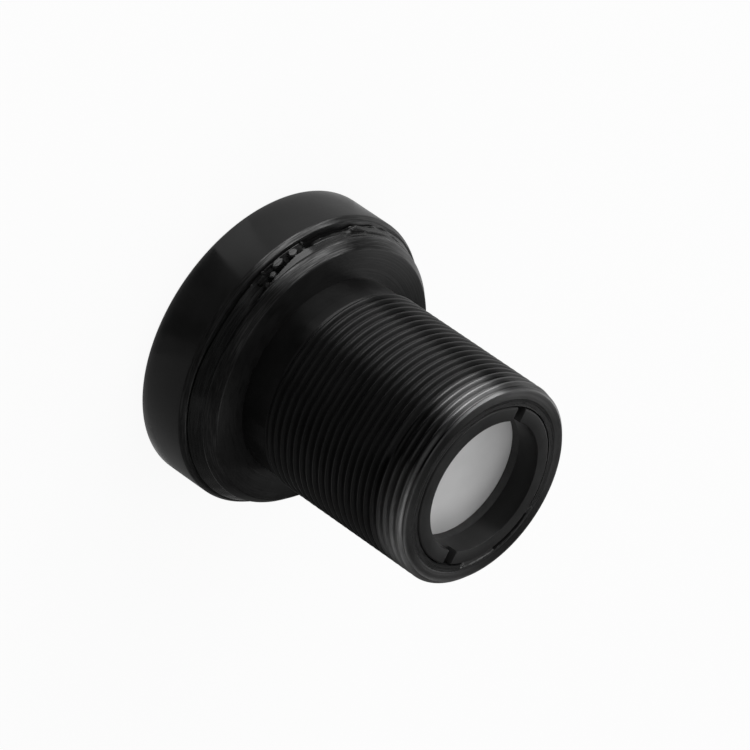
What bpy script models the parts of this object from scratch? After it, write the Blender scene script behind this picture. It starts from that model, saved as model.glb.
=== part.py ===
"""Board camera lens with a fixed aperture and an M12 barrel, one object for each real piece.

The lens stands on the flat front face of its cap, with the optical axis along +Z and the
threaded end up. The origin is the centre of that face. Heights are stacked from the front
face, because each glass element rests on the piece before it, and the barrel is as long as
its stack. The fine threads themselves are left plain, at their outer diameter.
"""

import math

import bmesh
import bpy

MM = 0.001

# Facets round the outer pieces, round the hidden inner ones, and rings on each glass surface
OUTER_SEGMENTS = 80
FRONT_GLASS_SEGMENTS = 64
INNER_SEGMENTS = 36
SURFACE_RINGS = 4
SHARP_ANGLE = math.radians(28)

# Points closer than this are one point
MERGE_DISTANCE = 0.0001 * MM

# Clearances that mating pieces share
FIT = 0.02 * MM
SEAT = 0.02 * MM

# Barrel outside
THREAD_RADIUS = 6.0 * MM
NECK_RELIEF = 0.15 * MM
NECK_LENGTH = 1.74 * MM
END_CHAMFER = 0.25 * MM
# The fillet between neck and flange ends just outside the thread, so that a flat rear
# shoulder is left for the holder
NECK_FILLET = NECK_RELIEF + FIT

# Barrel inside: the tube that holds the glass, and the wider bore for the filter
TUBE_WALL = 1.48 * MM
REAR_WALL = 1.26 * MM
LIP_SEAT_WIDTH = 0.45 * MM
LIP_CLEARANCE = 0.146 * MM
MOUTH_CHAMFER_WIDTH = 0.46 * MM
MOUTH_CHAMFER_DEPTH = 0.27 * MM

# Flange and skirt of the barrel's head
FLANGE_WEB = 0.58 * MM
FLANGE_THICKNESS = 0.68 * MM
FLANGE_STEP = 0.47 * MM
FLANGE_BEVEL_WIDTH = 0.45 * MM
FLANGE_BEVEL_HEIGHT = 0.56 * MM
SKIRT_WALL = 1.02 * MM
SKIRT_GAP = 0.12 * MM

# Front cap
CAP_RADIUS = 8.75 * MM
CAP_WALL = 1.11 * MM
CAP_REAR_CHAMFER_WIDTH = 0.19 * MM
CAP_REAR_CHAMFER_HEIGHT = 0.33 * MM
CAP_FRONT_CHAMFER = 0.12 * MM
CAP_MOUTH_FLARE = 1.05 * MM
CAP_MOUTH_CLEARANCE = 0.06 * MM
GROOVE_WIDTH = 0.855 * MM

# Adhesive in the groove between cap and flange
BEAD_HEIGHT = 0.30 * MM
BEAD_LUMP = 0.07 * MM
BEAD_FULLNESS = 0.5
BEAD_ARC_POINTS = 5
# Waves round the bead: how many, how strong, and their phase
BEAD_WAVES = ((7, 0.45, 0.6), (11, 0.30, 2.1), (17, 0.25, 4.0))

# Retaining ring, filter spacer and filter in the rear end
RING_THICKNESS = 1.476 * MM
RING_WALL = 0.82 * MM
RING_PROUD = 0.05 * MM
RING_CHAMFER = 0.07 * MM
SLOT_WIDTH = 0.62 * MM
SLOT_DEPTH = 0.62 * MM
FILTER_SPACER_THICKNESS = 0.517 * MM
FILTER_SPACER_WALL = 0.755 * MM
FILTER_THICKNESS = 0.55 * MM
FILTER_EDGE_CHAMFER = 0.08 * MM

# Rings and stop between the glass elements
SPACER_WALL = 0.5 * MM
FRONT_SPACER_HEIGHT = 1.466 * MM
FRONT_SPACER_LAND = 1.05 * MM
SPACER_NOSE = 0.1 * MM
MIDDLE_AIR = 0.1 * MM
STOP_AIR = 0.1 * MM
REAR_AIR = 0.483 * MM
STOP_THICKNESS = 0.25 * MM
STOP_APERTURE_RADIUS = 1.6 * MM
STOP_BEVEL = 0.15 * MM

# Glass: radii of curvature, thinnest thickness of each element, width of the flat lands
FRONT_RECESS = 0.14 * MM
FRONT_OUTER_CURVE = 14.0 * MM
FRONT_INNER_CURVE = 9.0 * MM
FRONT_ELEMENT_THICKNESS = 1.0 * MM
FRONT_OUTER_LAND = 0.78 * MM
FRONT_INNER_LAND = 1.38 * MM
SECOND_FRONT_CURVE = 20.0 * MM
SECOND_REAR_CURVE = 7.0 * MM
SECOND_ELEMENT_THICKNESS = 0.6 * MM
THIRD_FRONT_CURVE = 10.0 * MM
THIRD_REAR_CURVE = 25.0 * MM
THIRD_ELEMENT_THICKNESS = 1.0 * MM
CROWN_FRONT_CURVE = 9.0 * MM
CEMENT_CURVE = 8.0 * MM
CROWN_THICKNESS = 0.6 * MM
FLINT_REAR_CURVE = 18.0 * MM
FLINT_THICKNESS = 0.54 * MM
REAR_FRONT_CURVE = 15.0 * MM
REAR_REAR_CURVE = 20.0 * MM
REAR_ELEMENT_THICKNESS = 1.1 * MM
GLASS_LAND = 0.5 * MM


def bulge(curve, aperture):
    """Height of a spherical cap of the given radius of curvature over its aperture radius."""
    return curve - math.sqrt(curve * curve - aperture * aperture)


def edge_thickness(thinnest, front_bulge, rear_bulge):
    """Thickness at the rim of an element whose thinnest place has the given thickness."""
    return thinnest + max(0.0, -(front_bulge + rear_bulge))


# Radii that follow from the sizes above
TUBE_BORE = THREAD_RADIUS - TUBE_WALL
ELEMENT_RADIUS = TUBE_BORE - FIT
CLEAR_RADIUS = ELEMENT_RADIUS - GLASS_LAND
SPACER_BORE = ELEMENT_RADIUS - SPACER_WALL
LIP_BORE = ELEMENT_RADIUS - LIP_SEAT_WIDTH
REAR_BORE = THREAD_RADIUS - REAR_WALL
RING_RADIUS = REAR_BORE - FIT
RING_BORE = RING_RADIUS - RING_WALL
CAP_BORE = CAP_RADIUS - CAP_WALL
SKIRT_RADIUS = CAP_BORE - FIT
HEAD_BORE = SKIRT_RADIUS - SKIRT_WALL
FRONT_RADIUS = HEAD_BORE - FIT
FLANGE_RADIUS = SKIRT_RADIUS + FLANGE_STEP
FRONT_OUTER_CLEAR = FRONT_RADIUS - FRONT_OUTER_LAND
FRONT_INNER_CLEAR = FRONT_RADIUS - FRONT_INNER_LAND
CAP_MOUTH_RADIUS = FRONT_OUTER_CLEAR + CAP_MOUTH_CLEARANCE

# Bulges of the glass surfaces: positive is convex
FRONT_OUTER_BULGE = bulge(FRONT_OUTER_CURVE, FRONT_OUTER_CLEAR)
FRONT_INNER_BULGE = -bulge(FRONT_INNER_CURVE, FRONT_INNER_CLEAR)
SECOND_FRONT_BULGE = bulge(SECOND_FRONT_CURVE, CLEAR_RADIUS)
SECOND_REAR_BULGE = -bulge(SECOND_REAR_CURVE, CLEAR_RADIUS)
THIRD_FRONT_BULGE = bulge(THIRD_FRONT_CURVE, CLEAR_RADIUS)
THIRD_REAR_BULGE = -bulge(THIRD_REAR_CURVE, CLEAR_RADIUS)
CROWN_FRONT_BULGE = bulge(CROWN_FRONT_CURVE, CLEAR_RADIUS)
CEMENT_BULGE = bulge(CEMENT_CURVE, ELEMENT_RADIUS)
FLINT_REAR_BULGE = -bulge(FLINT_REAR_CURVE, CLEAR_RADIUS)
REAR_FRONT_BULGE = bulge(REAR_FRONT_CURVE, CLEAR_RADIUS)
REAR_REAR_BULGE = bulge(REAR_REAR_CURVE, CLEAR_RADIUS)

# Heights, stacked from the front face towards the rear end
FRONT_LAND_Z = FRONT_RECESS + FRONT_OUTER_BULGE
CAP_LIP_Z = FRONT_LAND_Z - SEAT
FRONT_REAR_Z = FRONT_LAND_Z + edge_thickness(
    FRONT_ELEMENT_THICKNESS, FRONT_OUTER_BULGE, FRONT_INNER_BULGE)
FRONT_SPACER_Z = FRONT_REAR_Z + SEAT
SHOULDER_Z = FRONT_SPACER_Z + FRONT_SPACER_HEIGHT + SEAT
NOSE_Z = SHOULDER_Z + SPACER_NOSE
SECOND_Z = NOSE_Z + SEAT
SECOND_REAR_Z = SECOND_Z + edge_thickness(
    SECOND_ELEMENT_THICKNESS, SECOND_FRONT_BULGE, SECOND_REAR_BULGE)
MIDDLE_SPACER_Z = SECOND_REAR_Z + SEAT
MIDDLE_SPACER_TOP = MIDDLE_SPACER_Z + THIRD_FRONT_BULGE + MIDDLE_AIR
THIRD_Z = MIDDLE_SPACER_TOP + SEAT
THIRD_REAR_Z = THIRD_Z + edge_thickness(
    THIRD_ELEMENT_THICKNESS, THIRD_FRONT_BULGE, THIRD_REAR_BULGE)
STOP_Z = THIRD_REAR_Z + SEAT
STOP_TOP = STOP_Z + STOP_THICKNESS
STOP_SPACER_Z = STOP_TOP + SEAT
STOP_SPACER_TOP = STOP_SPACER_Z + CROWN_FRONT_BULGE + STOP_AIR
CROWN_Z = STOP_SPACER_TOP + SEAT
CROWN_REAR_Z = CROWN_Z + edge_thickness(CROWN_THICKNESS, CROWN_FRONT_BULGE, CEMENT_BULGE)
FLINT_Z = CROWN_REAR_Z + SEAT
FLINT_REAR_Z = FLINT_Z + edge_thickness(FLINT_THICKNESS, -CEMENT_BULGE, FLINT_REAR_BULGE)
REAR_SPACER_Z = FLINT_REAR_Z + SEAT
REAR_SPACER_TOP = REAR_SPACER_Z + REAR_FRONT_BULGE + REAR_AIR
REAR_ELEMENT_Z = REAR_SPACER_TOP + SEAT
REAR_ELEMENT_TOP = REAR_ELEMENT_Z + edge_thickness(
    REAR_ELEMENT_THICKNESS, REAR_FRONT_BULGE, REAR_REAR_BULGE)
LIP_Z = REAR_ELEMENT_TOP + SEAT
LIP_TOP = LIP_Z + REAR_REAR_BULGE + LIP_CLEARANCE
FILTER_Z = LIP_TOP + SEAT
FILTER_TOP = FILTER_Z + FILTER_THICKNESS
FILTER_SPACER_Z = FILTER_TOP + SEAT
FILTER_SPACER_TOP = FILTER_SPACER_Z + FILTER_SPACER_THICKNESS
RING_Z = FILTER_SPACER_TOP + SEAT
RING_TOP = RING_Z + RING_THICKNESS
REAR_END_Z = RING_TOP - RING_PROUD
FLANGE_REAR_Z = SHOULDER_Z + FLANGE_WEB
FLANGE_FRONT_Z = FLANGE_REAR_Z - FLANGE_THICKNESS
CAP_REAR_Z = FLANGE_FRONT_Z - GROOVE_WIDTH
SKIRT_FRONT_Z = CAP_LIP_Z + SKIRT_GAP
THREAD_START_Z = FLANGE_REAR_Z + NECK_LENGTH


def clear_scene():
    """Start from an empty scene."""
    for obj in list(bpy.data.objects):
        bpy.data.objects.remove(obj, do_unlink=True)


def finish_material(name, colour, roughness, metallic, transmission=0.0):
    """A Principled BSDF with the piece's own colour and gloss."""
    material = bpy.data.materials.new(name)
    material.use_nodes = True
    shader = material.node_tree.nodes["Principled BSDF"]
    shader.inputs["Base Color"].default_value = (*colour, 1.0)
    shader.inputs["Roughness"].default_value = roughness
    shader.inputs["Metallic"].default_value = metallic
    shader.inputs["Transmission Weight"].default_value = transmission
    material.diffuse_color = (*colour, 1.0)
    return material


def anodised(name):
    """Black anodised aluminium."""
    return finish_material(name + "_finish", (0.022, 0.022, 0.023), 0.42, 0.35)


def blackened(name):
    """Matt blackened metal, as on the rings inside a lens."""
    return finish_material(name + "_finish", (0.012, 0.012, 0.012), 0.75, 0.1)


def glass(name):
    """Clear optical glass."""
    return finish_material(name + "_finish", (0.86, 0.90, 0.92), 0.03, 0.0, 0.9)


def turned(name, outline, segments, material, closed=True):
    """Spin an outline of (radius, height) points about Z into one solid.

    The outline runs down the outer side. A closed outline makes a ring, and an open one
    starts and ends on the axis, which makes a full disc.
    """
    mesh = bpy.data.meshes.new(name)
    bm = bmesh.new()
    verts = [bm.verts.new((radius, 0.0, height)) for radius, height in outline]
    pairs = list(zip(verts, verts[1:]))
    if closed:
        pairs.append((verts[-1], verts[0]))
    edges = [bm.edges.new(pair) for pair in pairs]
    bmesh.ops.spin(bm, geom=verts + edges, cent=(0, 0, 0), axis=(0, 0, 1),
                   angle=2 * math.pi, steps=segments, use_merge=True)
    bmesh.ops.remove_doubles(bm, verts=bm.verts, dist=MERGE_DISTANCE)
    bmesh.ops.recalc_face_normals(bm, faces=bm.faces)
    bm.to_mesh(mesh)
    bm.free()
    mesh.materials.append(material)
    mesh.shade_smooth()
    mesh.set_sharp_from_angle(angle=SHARP_ANGLE)
    obj = bpy.data.objects.new(name, mesh)
    bpy.context.collection.objects.link(obj)
    return obj


def surface(curve, height, direction, aperture, rings=SURFACE_RINGS):
    """Points of a spherical glass surface, from the axis out to its aperture radius.

    The rim of the surface lies at height, and its centre bulges from there in direction,
    +1 towards the rear and -1 towards the front.
    """
    centre = height - direction * (curve - bulge(curve, aperture))
    reach = math.asin(aperture / curve)
    angles = [reach * step / rings for step in range(rings + 1)]
    return [(curve * math.sin(a), centre + direction * curve * math.cos(a)) for a in angles]


def element(name, front, rear, radius, segments=INNER_SEGMENTS):
    """A glass element from the points of its rear and front surfaces, each from the axis out.

    Flat lands run from the rim of each surface to the cylindrical edge of the element.
    """
    outline = list(rear)
    for land in (rear[-1], front[-1]):
        if land[0] < radius - FIT:
            outline.append((radius, land[1]))
    outline.extend(reversed(front))
    return turned(name, outline, segments, glass(name), closed=False)


def plain_ring(name, bore, radius, low, high, segments=INNER_SEGMENTS):
    """A plain spacer ring between two heights."""
    outline = [(bore, high), (radius, high), (radius, low), (bore, low)]
    return turned(name, outline, segments, blackened(name))


def make_barrel():
    """Skirt, flange, neck, threaded tube and stepped bore, turned from one bar."""
    neck_radius = THREAD_RADIUS - NECK_RELIEF
    fillet_middle = NECK_FILLET * (1 - math.sqrt(0.5))
    mouth_radius = REAR_BORE + MOUTH_CHAMFER_WIDTH
    outside = [
        (mouth_radius, REAR_END_Z),
        (THREAD_RADIUS - END_CHAMFER, REAR_END_Z),
        (THREAD_RADIUS, REAR_END_Z - END_CHAMFER),
        (THREAD_RADIUS, THREAD_START_Z + NECK_RELIEF),
        (neck_radius, THREAD_START_Z),
        (neck_radius, FLANGE_REAR_Z + NECK_FILLET),
        (neck_radius + fillet_middle, FLANGE_REAR_Z + fillet_middle),
        (neck_radius + NECK_FILLET, FLANGE_REAR_Z),
        (FLANGE_RADIUS - FLANGE_BEVEL_WIDTH, FLANGE_REAR_Z),
        (FLANGE_RADIUS, FLANGE_REAR_Z - FLANGE_BEVEL_HEIGHT),
        (FLANGE_RADIUS, FLANGE_FRONT_Z),
        (SKIRT_RADIUS, FLANGE_FRONT_Z),
        (SKIRT_RADIUS, SKIRT_FRONT_Z),
    ]
    inside = [
        (HEAD_BORE, SKIRT_FRONT_Z),
        (HEAD_BORE, SHOULDER_Z),
        (TUBE_BORE, SHOULDER_Z),
        (TUBE_BORE, LIP_Z),
        (LIP_BORE, LIP_Z),
        (LIP_BORE, LIP_TOP),
        (REAR_BORE, LIP_TOP),
        (REAR_BORE, REAR_END_Z - MOUTH_CHAMFER_DEPTH),
    ]
    return turned("barrel", outside + inside, OUTER_SEGMENTS, anodised("barrel"))


def make_front_cap():
    """Cap over the skirt: a plain rim, and a lip that holds the front element."""
    outline = [
        (CAP_BORE, CAP_REAR_Z),
        (CAP_RADIUS - CAP_REAR_CHAMFER_WIDTH, CAP_REAR_Z),
        (CAP_RADIUS, CAP_REAR_Z - CAP_REAR_CHAMFER_HEIGHT),
        (CAP_RADIUS, CAP_FRONT_CHAMFER),
        (CAP_RADIUS - CAP_FRONT_CHAMFER, 0.0),
        (CAP_MOUTH_RADIUS + CAP_MOUTH_FLARE, 0.0),
        (CAP_MOUTH_RADIUS, CAP_LIP_Z),
        (CAP_BORE, CAP_LIP_Z),
    ]
    return turned("front_cap", outline, OUTER_SEGMENTS, anodised("front_cap"))


def make_adhesive_bead():
    """Adhesive that fills the groove between cap and flange, with a lumpy rounded face."""
    root = SKIRT_RADIUS + FIT
    low = CAP_REAR_Z + SEAT
    high = FLANGE_FRONT_Z - SEAT
    middle = (low + high) / 2
    half = (high - low) / 2
    crown = [(root, high)]
    for step in range(BEAD_ARC_POINTS):
        angle = math.pi * (0.5 - (step + 0.5) / BEAD_ARC_POINTS)
        crown.append((root + BEAD_HEIGHT * math.cos(angle) ** BEAD_FULLNESS,
                      middle + half * math.sin(angle)))
    crown.append((root, low))
    material = finish_material("adhesive_bead_finish", (0.01, 0.01, 0.01), 0.12, 0.0)
    bead = turned("adhesive_bead", crown, OUTER_SEGMENTS, material)
    for vert in bead.data.vertices:
        radius = math.hypot(vert.co.x, vert.co.y)
        proud = (radius - root) / BEAD_HEIGHT
        around = math.atan2(vert.co.y, vert.co.x)
        lump = sum(weight * math.sin(count * around + phase)
                   for count, weight, phase in BEAD_WAVES)
        swell = 1.0 + proud * BEAD_LUMP * lump / radius
        vert.co.x *= swell
        vert.co.y *= swell
    return bead


def make_retaining_ring():
    """Threaded ring in the rear end, with two spanner slots cut across its rim."""
    outline = [
        (RING_BORE, RING_TOP),
        (RING_RADIUS - RING_CHAMFER, RING_TOP),
        (RING_RADIUS, RING_TOP - RING_CHAMFER),
        (RING_RADIUS, RING_Z),
        (RING_BORE, RING_Z),
    ]
    ring = turned("retaining_ring", outline, OUTER_SEGMENTS, anodised("retaining_ring"))
    cutter_height = 2 * SLOT_DEPTH
    mesh = bpy.data.meshes.new("slot_cutter")
    bm = bmesh.new()
    bmesh.ops.create_cube(bm, size=1.0)
    bmesh.ops.scale(bm, vec=(3 * RING_RADIUS, SLOT_WIDTH, cutter_height), verts=bm.verts)
    bm.to_mesh(mesh)
    bm.free()
    cutter = bpy.data.objects.new("slot_cutter", mesh)
    cutter.location.z = RING_TOP - SLOT_DEPTH + cutter_height / 2
    cutter.hide_render = True
    cutter.display_type = "WIRE"
    bpy.context.collection.objects.link(cutter)
    slots = ring.modifiers.new("spanner_slots", "BOOLEAN")
    slots.operation = "DIFFERENCE"
    slots.solver = "EXACT"
    slots.object = cutter
    return ring


def make_filter_parts():
    """Infrared filter on the barrel's lip, and the thin ring that the retaining ring presses."""
    edge = RING_RADIUS - FILTER_EDGE_CHAMFER
    outline = [
        (0.0, FILTER_TOP),
        (edge, FILTER_TOP),
        (RING_RADIUS, FILTER_TOP - FILTER_EDGE_CHAMFER),
        (RING_RADIUS, FILTER_Z + FILTER_EDGE_CHAMFER),
        (edge, FILTER_Z),
        (0.0, FILTER_Z),
    ]
    turned("ir_filter", outline, INNER_SEGMENTS, glass("ir_filter"), closed=False)
    plain_ring("filter_spacer", RING_RADIUS - FILTER_SPACER_WALL, RING_RADIUS,
               FILTER_SPACER_Z, FILTER_SPACER_TOP, OUTER_SEGMENTS)


def make_spacers():
    """Rings that keep the glass elements apart inside the barrel."""
    seat_bore = FRONT_RADIUS - FRONT_SPACER_LAND
    outline = [
        (SPACER_BORE, NOSE_Z),
        (ELEMENT_RADIUS, NOSE_Z),
        (ELEMENT_RADIUS, SHOULDER_Z - SEAT),
        (FRONT_RADIUS, SHOULDER_Z - SEAT),
        (FRONT_RADIUS, FRONT_SPACER_Z),
        (seat_bore, FRONT_SPACER_Z),
    ]
    turned("front_spacer", outline, INNER_SEGMENTS, blackened("front_spacer"))
    plain_ring("middle_spacer", SPACER_BORE, ELEMENT_RADIUS, MIDDLE_SPACER_Z, MIDDLE_SPACER_TOP)
    plain_ring("stop_spacer", SPACER_BORE, ELEMENT_RADIUS, STOP_SPACER_Z, STOP_SPACER_TOP)
    plain_ring("rear_spacer", SPACER_BORE, ELEMENT_RADIUS, REAR_SPACER_Z, REAR_SPACER_TOP)


def make_aperture_stop():
    """Thin disc whose bevelled hole is the fixed aperture."""
    outline = [
        (STOP_APERTURE_RADIUS, STOP_TOP),
        (ELEMENT_RADIUS, STOP_TOP),
        (ELEMENT_RADIUS, STOP_Z),
        (STOP_APERTURE_RADIUS + STOP_BEVEL, STOP_Z),
    ]
    return turned("aperture_stop", outline, INNER_SEGMENTS, blackened("aperture_stop"))


def make_elements():
    """The six glass elements, front to rear. Each surface is given by its rim and its bulge."""
    element("front_element",
            surface(FRONT_OUTER_CURVE, FRONT_LAND_Z, -1, FRONT_OUTER_CLEAR),
            surface(FRONT_INNER_CURVE, FRONT_REAR_Z, -1, FRONT_INNER_CLEAR),
            FRONT_RADIUS, FRONT_GLASS_SEGMENTS)
    element("second_element",
            surface(SECOND_FRONT_CURVE, SECOND_Z, -1, CLEAR_RADIUS),
            surface(SECOND_REAR_CURVE, SECOND_REAR_Z, -1, CLEAR_RADIUS),
            ELEMENT_RADIUS)
    element("third_element",
            surface(THIRD_FRONT_CURVE, THIRD_Z, -1, CLEAR_RADIUS),
            surface(THIRD_REAR_CURVE, THIRD_REAR_Z, -1, CLEAR_RADIUS),
            ELEMENT_RADIUS)
    element("doublet_crown",
            surface(CROWN_FRONT_CURVE, CROWN_Z, -1, CLEAR_RADIUS),
            surface(CEMENT_CURVE, CROWN_REAR_Z, 1, ELEMENT_RADIUS),
            ELEMENT_RADIUS)
    element("doublet_flint",
            surface(CEMENT_CURVE, FLINT_Z, 1, ELEMENT_RADIUS),
            surface(FLINT_REAR_CURVE, FLINT_REAR_Z, -1, CLEAR_RADIUS),
            ELEMENT_RADIUS)
    element("rear_element",
            surface(REAR_FRONT_CURVE, REAR_ELEMENT_Z, -1, CLEAR_RADIUS),
            surface(REAR_REAR_CURVE, REAR_ELEMENT_TOP, 1, CLEAR_RADIUS),
            ELEMENT_RADIUS)


def main():
    """Build every piece of the lens."""
    clear_scene()
    make_barrel()
    make_front_cap()
    make_adhesive_bead()
    make_retaining_ring()
    make_filter_parts()
    make_spacers()
    make_aperture_stop()
    make_elements()


main()
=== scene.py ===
"""Board camera lens as the photograph shows it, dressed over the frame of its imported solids.

The lens stands on its front face with the threaded rear end up. The turned pieces are made
again from the outlines of their solids, with fine facets, eased edges and the real thread.
The glass elements get true spheres, the groove gets its lumpy adhesive, and every piece its
finish. Bearings are counted from +X towards +Y, seen from the rear end.
"""

import math

import bmesh
import bpy
from mathutils import Matrix, Vector, noise


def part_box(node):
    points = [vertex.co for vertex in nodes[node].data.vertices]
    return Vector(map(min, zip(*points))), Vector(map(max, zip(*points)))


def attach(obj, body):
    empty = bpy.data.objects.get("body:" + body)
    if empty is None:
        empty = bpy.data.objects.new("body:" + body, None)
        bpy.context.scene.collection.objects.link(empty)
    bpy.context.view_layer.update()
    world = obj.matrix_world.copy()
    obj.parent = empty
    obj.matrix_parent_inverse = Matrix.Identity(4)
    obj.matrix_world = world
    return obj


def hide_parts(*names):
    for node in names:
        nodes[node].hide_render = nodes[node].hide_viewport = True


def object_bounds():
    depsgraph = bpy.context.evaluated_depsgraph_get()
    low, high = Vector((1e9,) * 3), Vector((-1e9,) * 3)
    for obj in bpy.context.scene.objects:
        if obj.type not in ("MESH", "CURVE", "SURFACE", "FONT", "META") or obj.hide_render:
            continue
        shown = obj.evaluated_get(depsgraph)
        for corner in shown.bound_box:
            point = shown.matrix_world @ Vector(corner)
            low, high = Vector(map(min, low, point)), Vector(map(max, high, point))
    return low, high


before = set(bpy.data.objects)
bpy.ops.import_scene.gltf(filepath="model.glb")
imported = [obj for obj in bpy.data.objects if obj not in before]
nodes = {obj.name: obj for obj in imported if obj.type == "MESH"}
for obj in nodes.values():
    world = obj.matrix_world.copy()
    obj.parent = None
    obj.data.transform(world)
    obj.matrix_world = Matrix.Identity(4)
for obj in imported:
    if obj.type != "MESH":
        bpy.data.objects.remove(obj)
cad_low, cad_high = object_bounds()

MM = 0.001

# Pieces that get true spheres, and rings inside the lens that keep the shape of their solids
ELEMENTS = ("front_element", "second_element", "third_element", "doublet_crown",
            "doublet_flint", "rear_element")
INNER_RINGS = ("front_spacer", "middle_spacer", "aperture_stop", "stop_spacer", "rear_spacer")

# Facets round the outer pieces and round the glass, and rings on each glass surface
OUTER_SEGMENTS = 240
GLASS_SEGMENTS = 128
GLASS_RINGS = 24

# Points from the axis to the rim of a glass surface, in the outline of its solid
CAD_SURFACE_POINTS = 5

SHARP_ANGLE = math.radians(32)
MERGE_DISTANCE = 0.0002 * MM
PLANE_TOLERANCE = 0.0001 * MM

# Every turned edge is broken a little, by no more than a share of the shorter side beside it
EDGE_BREAK = 0.045 * MM
RING_EDGE_BREAK = 0.03 * MM
EDGE_BREAK_MOST = 0.4
STRAIGHT_ENOUGH = math.radians(8)

# Right-hand M12 x 0.5 thread. A crest stands at CREST_HEIGHT at bearing zero, and turns are
# counted on below the lowest crest to fill the run-out
THREAD_PITCH = 0.5 * MM
THREAD_DEPTH = 0.23 * MM
THREAD_CREST = 0.13 * MM
THREAD_ROOT = 0.08 * MM
CREST_EASE = 0.06 * MM
ROOT_EASE = 0.02 * MM
CREST_HEIGHT = 17.2 * MM
RUNOUT_LENGTH = 0.22 * MM
RUNOUT_TURNS = 2
FLANK_STEPS = 1

# Spanner slots of the retaining ring
SLOT_WIDTH = 0.68 * MM
SLOT_DEPTH = 0.62 * MM
SLOT_EDGE = 0.02 * MM
SLOT_EDGE_ANGLE = math.radians(50)
SLOT_EDGE_SEGMENTS = 2

# Adhesive that fills the groove. Bearings are in degrees, and a share runs across the groove
# from 0 at the flange to 1 at the cap. The adhesive is smeared, has sunk beside a string in
# one place, is lumpy in the next, and has sunk again after that
BEAD_SEGMENTS = 960
BEAD_ROWS = 36
BEAD_SHY = 0.06 * MM
BEAD_UNEVEN = 0.025 * MM
BEAD_WAVE = 0.9 * MM
BEARING_BLEND = 5.0

# Narrow gap that it leaves beside the cap
BEAD_GAP = 0.14 * MM
BEAD_GAP_FROM = 0.92
BEAD_GAP_BLEND = 0.05

# Smeared part. Its streaks are a slice of noise, stretched by numbers across and along it
SMEAR_BEARINGS = (146.0, 197.0)
STREAK_DEPTH = 0.07 * MM
STREAK_LEVEL = 0.4
STREAKS_ACROSS = 6.0
STREAKS_ALONG = 2.5
STREAK_SLICE = 5.0

# String, whose share changes along it, and hollow between it and the cap
STRING_PLACE = (0.48, 0.55)
STRING_WIDTH = 0.04
STRING_HEIGHT = 0.14 * MM
HOLLOW_BEARINGS = (194.0, 215.5)
HOLLOW_SLOPE = 0.6
HOLLOW_FROM = 0.05
HOLLOW_BLEND = 0.1
HOLLOW_DEPTH = 0.30 * MM
HOLLOW_TAPER = 1.2 * MM
# Faces of the hollow lying this far below the plain slope are painted dead black as shade
HOLLOW_SHADE_BELOW = 0.07 * MM

# Lumpy part. The ground between its drops has sunk from a share on, which changes along it
LUMPY_BEARINGS = (214.0, 246.0)
LUMPY_FADE = 24.0
LUMPY_FROM = (0.42, 0.05)
LUMPY_BLEND = 0.12
LUMPY_DROP = 0.60 * MM
DROP_BULGE = 0.05 * MM
DROP_STEEPNESS = 1.8
DROPS = (
    # bearing in degrees, share of the width from the flange, half length, half width
    (216.7, 0.88, 0.13 * MM, 0.10 * MM),
    (222.3, 0.62, 0.36 * MM, 0.22 * MM),
    (229.6, 0.68, 0.46 * MM, 0.21 * MM),
    (234.1, 0.36, 0.30 * MM, 0.16 * MM),
    (236.3, 0.86, 0.12 * MM, 0.09 * MM),
    (240.0, 0.60, 0.09 * MM, 0.07 * MM),
    (242.6, 0.86, 0.08 * MM, 0.06 * MM),
    (238.4, 0.20, 0.24 * MM, 0.10 * MM),
)

# Sunk part after it
SUNK_BEARINGS = (246.0, 272.0)
SUNK_FADE = 24.0
SUNK_DEPTH = 0.22 * MM

# Dents in the smeared part
DENTS = (
    # bearing in degrees, share of the width from the flange, half length, half width, depth
    (190.5, 0.38, 0.80 * MM, 0.14 * MM, 0.12 * MM),
    (188.0, 0.93, 1.30 * MM, 0.12 * MM, 0.14 * MM),
    (193.0, 0.72, 0.50 * MM, 0.10 * MM, 0.12 * MM),
    (183.0, 0.76, 0.90 * MM, 0.09 * MM, 0.10 * MM),
    (174.5, 0.80, 0.70 * MM, 0.12 * MM, 0.09 * MM),
    (166.0, 0.50, 0.60 * MM, 0.10 * MM, 0.06 * MM),
)

# Adhesive that locks the retaining ring. Beside the ring a trench is open in it, whose wall
# wavers. Shares run from 0 at the mouth's edge to 1 at the ring
LOCK_SEGMENTS = 2 * OUTER_SEGMENTS
LOCK_ROWS = 24
LOCK_GAP = 0.07 * MM
LOCK_SHY = 0.012 * MM
LOCK_SAG = 0.008 * MM
LOCK_WALL_FROM = 0.32
LOCK_WALL_WIDTH = 0.20
LOCK_WAVER = 0.12
LOCK_WAVER_SIZE = math.radians(4)
LOCK_OPEN_BEARINGS = (18.0, 80.0)
# Between these bearings the faces of the trench are painted dead black as shade
LOCK_SHADE_BEARINGS = (45.0, 76.0)

# Black anodised finish. Its gloss is drawn out a quarter of a turn from the tool's marks
ANODISED_SPECULAR = 0.27
ACROSS_MARKS = 0.25

# Painted shade: the bore of the retaining ring is painted nearly black, except between these
# bearings
BORE_SHADE_BLACK = (0.002, 0.002, 0.002)
UNSHADED_BORE_BEARINGS = (math.radians(-8), math.radians(50))
UNSHADED_BORE_BLEND = math.radians(5)

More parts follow.
